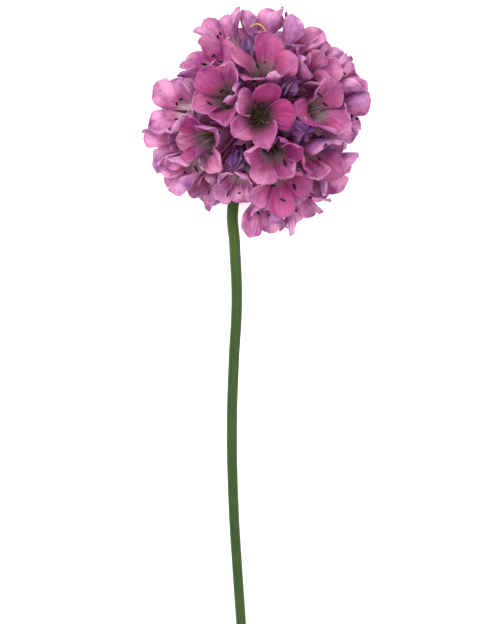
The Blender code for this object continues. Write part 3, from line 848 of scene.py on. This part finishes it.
# Painted shade in the throats of florets seen furthest down their tubes, and how strong it is.
SHADED_THROATS = {1: 1.0, 2: 0.7, 3: 0.5, 10: 0.5, 14: 0.4, 17: 0.7, 21: 0.4}  # florets whose throats are darkest
PALE_AND_BACKLIT = (15, 16, 18, 19, 22)  # florets whose claws and blades are palest: partly their own pale claws, partly painted light glowing through them from behind
CROWDING = 1.7  # above 1, a petal's rows are closer together near its tip
petal_pattern = new_grid("petal_pattern", 10, 14)
for vertex in petal_pattern.data.vertices:
    vertex.co.y = 1 - ((1 - vertex.co.y) / 2) ** CROWDING
for corner, spot in zip(petal_pattern.data.loops, petal_pattern.data.uv_layers["UVMap"].data):
    spot.uv.y = petal_pattern.data.vertices[corner.vertex_index].co.y
tube_pattern = new_grid("tube_pattern", 2 * PETALS, 5)
roll_up(
    tube_pattern,
    lambda share, angle: TUBE_FOOT_RADIUS + (THROAT_RADIUS - TUBE_FOOT_RADIUS) * share,
    lambda share, angle: TUBE_DEPTH * (share - 1),
)
# The tube takes the petals' throat colour all over: its own olive with painted shade of its depth.
for spot in tube_pattern.data.uv_layers["UVMap"].data:
    spot.uv.y = 0


def join(pieces, name):
    """Joins pieces into the first of them, and names it."""
    select(*pieces)
    bpy.ops.object.join()
    return named(name)


for i, (corolla, (_, _, rise, turn, _)) in enumerate(zip(corollas, FLORETS)):
    tube = copy_of(tube_pattern, "tube")
    tube.data.transform(Matrix.Translation((0, 0, THROAT_REACH + rise)))
    tube.data.transform(along_axis(floret_axes[i][0], turn))
    pieces = [tube]
    for petal in corolla:
        line = petal.line()
        piece = copy_of(petal_pattern, "petal")
        for vertex in piece.data.vertices:
            vertex.co = at_centre(petal.point(line, vertex.co.x, vertex.co.y, fine=True))
        paleness_and_light = 1 if i + 1 in PALE_AND_BACKLIT else petal.paleness_and_light
        for name, value in (("paleness_and_light", paleness_and_light), ("throat_shade", SHADED_THROATS.get(i + 1, 0.0))):
            shade = piece.data.attributes.new(name, "FLOAT", "POINT")
            shade.data.foreach_set("value", [value] * len(piece.data.vertices))
        pieces.append(piece)
    joined = join(pieces, f"floret_{i + 1:02d}_petals")
    joined.data.materials.append(petal_back)
    joined.data.materials.append(petal_face)
    thicken(joined, PETAL_THICKNESS * MM, back_material=1)
    finish_piece(joined, slot="petal", replaced=[f"floret_{i + 1:02d}"])


# ----------------------------
# Stamens and styles: from every throat rise five pale filaments, each with a dark anther balanced on its
# tip, and five styles with a tuft of olive hairs round their feet. Old florets have shed some anthers.

FILAMENT_RADIUS = 0.1
FILAMENT_FOOT = 0.5  # out from the floret's axis
ROOT_DEPTH = 2  # how far below the throat filaments and styles are rooted
FILAMENT_HEIGHTS = (3.6, 6.4)  # above the throat
FILAMENT_SPREAD = (1.2, 3.4)  # out from the axis, at the tip
BESIDE = 9  # the point of its petal's line that a filament's tip stays inside of,
INSIDE = 0.8  # by this share
ANTHER_LENGTH = 1.6
ANTHER_RADIUS = 0.26
ANTHERS = {1: 1, 2: 2, 5: 3, 6: 1, 7: 2, 9: 3, 10: 2, 14: 1, 17: 3, 20: 2, 21: 3}  # those that are left
FULL_ANTHERS = (4, 5, 5)  # one of these on each other floret
STYLE_HEIGHTS = (2.2, 4.2)
STYLE_SPREAD = (0.3, 1.2)
HAIR_RADIUS = 0.06
HAIR_HEIGHTS = (0.6, 3.2)
HAIR_SPREAD = (0.1, 2.6)
HAIRY = {1: 130, 2: 60, 3: 40, 10: 40, 17: 40}  # hairs in the throats that open widest, and in the others
HAIRS = 14

# Filaments are living threads: pale, wet and a little see-through.
filament_flesh = new_material("filament_flesh")
wet = add_node(
    filament_flesh,
    "BsdfPrincipled",
    {"Base Color": "#b791a0", "Roughness": 0.45, "Transmission Weight": 0.2},
)
add_node(filament_flesh, "OutputMaterial", {"Surface": wet})

# Styles and their hairs are living threads too, olive and duller, shaded every 0.7 mm.
style_hair = new_material("style_hair")
place = add_node(style_hair, "TexCoord", {}).outputs["Object"]
shades = add_node(style_hair, "TexNoise", {"Vector": place, "Scale": 1500})
olive = add_node(style_hair, "Mix", {0: shades, 6: "#5e5330", 7: "#a2966a"}, **COLOURS)
dull = add_node(style_hair, "BsdfPrincipled", {"Base Color": olive, "Roughness": 0.6})
add_node(style_hair, "OutputMaterial", {"Surface": dull})

# Anthers are ripe sacs of pollen, nearly black and matt, with a skin grained every 0.17 mm.
anther_skin = new_material("anther_skin")
place = add_node(anther_skin, "TexCoord", {}).outputs["Object"]
grains = add_node(anther_skin, "TexNoise", {"Vector": place, "Scale": 6000})
black = add_node(anther_skin, "Mix", {0: grains, 6: "#0b0b10", 7: "#1f1f25"}, **COLOURS)
bump = add_node(anther_skin, "Bump", {"Height": grains, "Strength": 0.5, "Distance": 0.0001})
ripe = add_node(
    anther_skin,
    "BsdfPrincipled",
    {"Base Color": black, "Roughness": 0.8, "Specular IOR Level": 0.15, "Normal": bump},
)
add_node(anther_skin, "OutputMaterial", {"Surface": ripe})

filament_pattern = new_grid("filament_pattern", 6, 8)
roll_up(
    filament_pattern,
    lambda share, angle: FILAMENT_RADIUS * profile(((0, 0), (0.1, 1), (0.9, 0.6), (1, 0)), share),
)
filament_pattern.data.materials.append(filament_flesh)
hair_pattern = new_grid("hair_pattern", 3, 4)
roll_up(hair_pattern, lambda share, angle: HAIR_RADIUS * profile(((0, 0), (0.1, 1), (1, 0)), share))
hair_pattern.data.materials.append(style_hair)


def anther_radius(share, angle):
    lobes = 0.72 + 0.28 * abs(cos(angle))
    return ANTHER_RADIUS * sqrt(sin(pi * share)) * lobes


anther_pattern = new_grid("anther_pattern", 8, 7)
roll_up(anther_pattern, anther_radius, lambda share, angle: ANTHER_LENGTH * (share - 0.5))
anther_pattern.data.materials.append(anther_skin)


def thread(pattern, axes, foot, tip, bow):
    """A copy of a pattern of unit length, from foot to tip, both (out, side, up), and bowed outwards."""
    piece = copy_of(pattern, "thread")
    axis, out, across = axes
    foot, tip = Vector(foot), Vector(tip)
    for vertex in piece.data.vertices:
        share = vertex.co.z
        at = foot.lerp(tip, share)
        at.x += bow * sin(pi * share)
        vertex.co = at_centre(out * (at.x + vertex.co.x) + across * (at.y + vertex.co.y) + axis * at.z)
    return piece


for i, (corolla, (_, _, rise, _, _)) in enumerate(zip(corollas, FLORETS)):
    throat = THROAT_REACH + rise
    pieces = []
    count = ANTHERS.get(i + 1, looks.choice(FULL_ANTHERS))
    for k, petal in enumerate(corolla):
        axes = (petal.axis, petal.out, petal.across)
        height = looks.uniform(*FILAMENT_HEIGHTS)
        out = min(petal.line()[BESIDE][0] * INSIDE, looks.uniform(*FILAMENT_SPREAD))
        aside = looks.uniform(-0.5, 0.5)
        foot, tip = (FILAMENT_FOOT, 0, throat - ROOT_DEPTH), (out, aside, throat + height)
        pieces.append(thread(filament_pattern, axes, foot, tip, looks.uniform(-0.3, 0.5)))
        tilt = Matrix.Rotation(looks.uniform(0.5, 1.6), 4, "X")
        tilt = tilt @ Matrix.Rotation(looks.uniform(0, 6.28), 4, "Z")
        spin = Matrix.Rotation(looks.uniform(0, 6.28), 4, "Z") @ tilt
        if k < count:
            anther = copy_of(anther_pattern, "anther")
            anther.data.transform(along_axis(petal.axis) @ spin)
            shift = petal.out * out + petal.across * aside + petal.axis * (throat + height)
            anther.data.transform(Matrix.Translation(shift * MM))
            pieces.append(anther)
        between = petal.out * cos(pi / PETALS) + petal.across * sin(pi / PETALS)
        axes = (petal.axis, between, petal.axis.cross(between))
        tip = (looks.uniform(*STYLE_SPREAD), 0, throat + looks.uniform(*STYLE_HEIGHTS))
        foot = (0.3, 0, throat - ROOT_DEPTH)
        pieces.append(thread(hair_pattern, axes, foot, tip, looks.uniform(0, 0.5)))
    axis, first, second = floret_axes[i]
    for _ in range(HAIRY.get(i + 1, HAIRS)):
        turn = looks.uniform(0, 2 * pi)
        out = first * cos(turn) + second * sin(turn)
        tip = (looks.uniform(*HAIR_SPREAD), looks.uniform(-0.5, 0.5), throat + looks.uniform(*HAIR_HEIGHTS))
        foot = (looks.uniform(0, 0.6), 0, throat - 1)
        axes = (axis, out, axis.cross(out))
        pieces.append(thread(hair_pattern, axes, foot, tip, looks.uniform(-0.1, 0.3)))
    finish_piece(join(pieces, f"floret_{i + 1:02d}_stamens"), slot="petal")


# ----------------------------
# Spent style: one yellow thread that has outlived its petals arches out of the top floret's throat.

ARCH = ((0.4, 12.6, 3.4), (1.7, 15.6, 7.6), (1.4, 17.1, 9.0), (0.2, 17.95, 9.4), (-1.3, 17.5, 9.0))
ARCH_RADIUS = 0.2
ARCH_END_SHARE = 0.6

# A living thread, going yellow, wet and smooth. It is too thin to show a pattern.
spent_style = new_material("spent_style")
wet = add_node(spent_style, "BsdfPrincipled", {"Base Color": "#b4964e", "Roughness": 0.4})
add_node(spent_style, "OutputMaterial", {"Surface": wet})

arch = round_stalk("floret_06_style", ARCH, ARCH_RADIUS, ARCH_END_SHARE, 6, 2)
finish_piece(arch, spent_style, slot="petal")


# ----------------------------
# Buds: between the open florets stand some that haven't opened. Their petals are furled round each
# other in a twisted, crumpled spindle, and they are more purple than the open ones.

BUD_OUTLINE = ((0, 0.25), (0.3, 0.5), (0.45, 0.85), (0.62, 1.12))
BUD_OUTLINE += ((0.8, 1.1), (0.92, 0.85), (0.98, 0.5), (1, 0.0))
BUD_TIP_REACH = 12.9
BUD_FOOT = 2.5
FURL = 1.4  # how far a petal winds round the bud, in widths of a petal
OUTER_EDGE = 0.82  # the share of a petal's width at which it stands out most
BUD_CALYX_SHORTER = 2.6
HUG_REACH = 9  # from this reach a bud's calyx closes round it,
HUG = 0.35  # by this share in the end

# Furled petals, purple and duller than the open ones, and greenish at their foot.
bud_petal = petal_material("bud_petal", "#55602c", "#94688e", "#86387e", "#e2c2e4", "#74429a", "#56285e")


def furled(girth, phase, looseness):
    """Rules for the radius and reach of five petals wrapped round each other, each over the next."""

    def fold(share, angle):
        wander = 0.25 * sin(angle + 2 * phase) + 0.2 * sin(2 * angle - phase + 3 * share)
        return (PETALS * angle / (2 * pi) + FURL * share + wander + phase) % 1

    def radius(share, angle):
        crumple = sin(9 * angle + 13 * share + phase) + sin(5 * angle - 21 * share + 3 * phase)
        edge = fold(share, angle)
        lap = smooth(edge / OUTER_EDGE) if edge < OUTER_EDGE else smooth((1 - edge) / (1 - OUTER_EDGE))
        opened = smooth((share - 0.35) / 0.3)
        folds = 0.86 + opened * (looseness * (lap - 0.3) + 0.08 * crumple)
        return BUD_RADIUS * girth * profile(BUD_OUTLINE, share) * folds

    def reach(share, angle):
        lap = sin(pi * fold(share, angle))
        return BUD_FOOT + (BUD_TIP_REACH - BUD_FOOT) * share + 1.5 * looseness * (lap - 0.4) * share**6

    return radius, reach


for i, ((axis, *_), (_, _, rise, girth)) in enumerate(zip(bud_axes, BUDS)):
    name = f"bud_{i + 1}"
    bud = new_grid(f"{name}_petals", 50, 26)
    radius, reach = furled(girth, looks.uniform(0, 6.28), looks.uniform(0.4, 0.55) + 0.3 * (girth - 1))
    roll_up(bud, radius, lambda share, angle: FOOT_REACH + rise * smooth(share / 0.4) + reach(share, angle))
    # Painted light: the further a point stands out from the bud's axis, the paler it is painted, a painted
    # highlight on each crest, and the folds between stay dark as painted shade.
    paleness_and_light = bud.data.attributes.new("paleness_and_light", "FLOAT", "POINT")
    longest = max(vertex.co.xy.length for vertex in bud.data.vertices)
    paleness_and_light.data.foreach_set("value", [1.1 * (v.co.xy.length / longest) ** 4 for v in bud.data.vertices])
    bud.data.transform(along_axis(axis))
    finish_piece(bud, bud_petal, slot="bud", replaced=[name])
    calyx = copy_of(calyx_pattern, f"{name}_calyx")
    lengthen(calyx, rise - BUD_CALYX_SHORTER)
    for vertex in calyx.data.vertices:
        vertex.co.xy *= 1 - HUG * smooth((vertex.co.z - HUG_REACH) / 4)
    calyx.data.transform(along_axis(axis))
    finish_piece(calyx, calyx_paper, slot="papery_scale")

for piece in list(bpy.context.scene.objects):  # the patterns are all copied by now
    if piece.name.endswith("_pattern"):
        bpy.data.objects.remove(piece)


# ----------------------------
# Floor, light and camera: a pale table top, soft studio light from above, and a camera that looks
# straight down on the flower.

FLOOR_SIZE = 4  # metres
bpy.ops.object.select_all(action="DESELECT")
bpy.ops.mesh.primitive_plane_add(size=FLOOR_SIZE)
floor = named("floor")

# Matt painted board, pale grey. The camera, gloss and glass see it white, and it keeps the shadow.
table_top = new_material("table_top")
plain = add_node(table_top, "BsdfDiffuse", {"Color": "#e6e6e6"})
white = add_node(table_top, "Emission", {"Color": "#ffffff", "Strength": 0.35})
seen = add_node(table_top, "LightPath", {}).outputs
direct = add_node(
    table_top, "Math", {0: seen["Is Camera Ray"], 1: seen["Is Glossy Ray"]}, operation="MAXIMUM"
)
direct = add_node(table_top, "Math", {0: direct, 1: seen["Is Transmission Ray"]}, operation="MAXIMUM")
both = add_node(table_top, "AddShader", {0: plain, 1: white})
board = add_node(table_top, "MixShader", {0: direct, 1: plain, 2: both})
add_node(table_top, "OutputMaterial", {"Surface": board})
floor.data.materials.append(table_top)

# A plain white sky, a little brighter overhead than low down all round.
SKY_LOW = 0.96
SKY_HIGH = 1.06
world = bpy.data.worlds.new("studio")
bpy.context.scene.world = world
world.use_nodes = True
upward = add_node(world, "TexCoord", {}).outputs["Generated"]
upward = add_node(world, "SeparateXYZ", {"Vector": upward}).outputs[2]
sky = add_node(
    world,
    "MapRange",
    {"Value": upward, "From Min": 0.1, "From Max": 0.9, "To Min": SKY_LOW, "To Max": SKY_HIGH},
)
background = world.node_tree.nodes["Background"]
background.inputs["Color"].default_value = linear("#ffffff")
world.node_tree.links.new(sky.outputs[0], background.inputs["Strength"])

# Two soft boxes: name, place, width and power in watts.
LIGHTS = (("key_light", (-260, 220, 620), 420, 4.6), ("fill_light", (340, -80, 520), 500, 1.5))
for name, position, size, power in LIGHTS:
    bpy.ops.object.light_add(type="AREA", location=at_centre(position))
    lamp = named(name)
    lamp.data.size = size * MM
    lamp.data.energy = power
    lamp.rotation_euler = (-Vector(position)).to_track_quat("-Z", "Y").to_euler()

CAMERA_PLACE = (-3.04, -36.0, 680)  # over the middle of the view, from the head's centre
VIEW_WIDTH = 91.4  # how much it sees at the head's centre's height
bpy.ops.object.camera_add(location=at_centre(CAMERA_PLACE))
camera = named("camera")
camera.data.sensor_fit = "HORIZONTAL"
camera.data.lens = camera.data.sensor_width * CAMERA_PLACE[2] / VIEW_WIDTH
camera.data.clip_end = 10
bpy.context.scene.camera = camera
bpy.context.scene.view_settings.view_transform = "Standard"
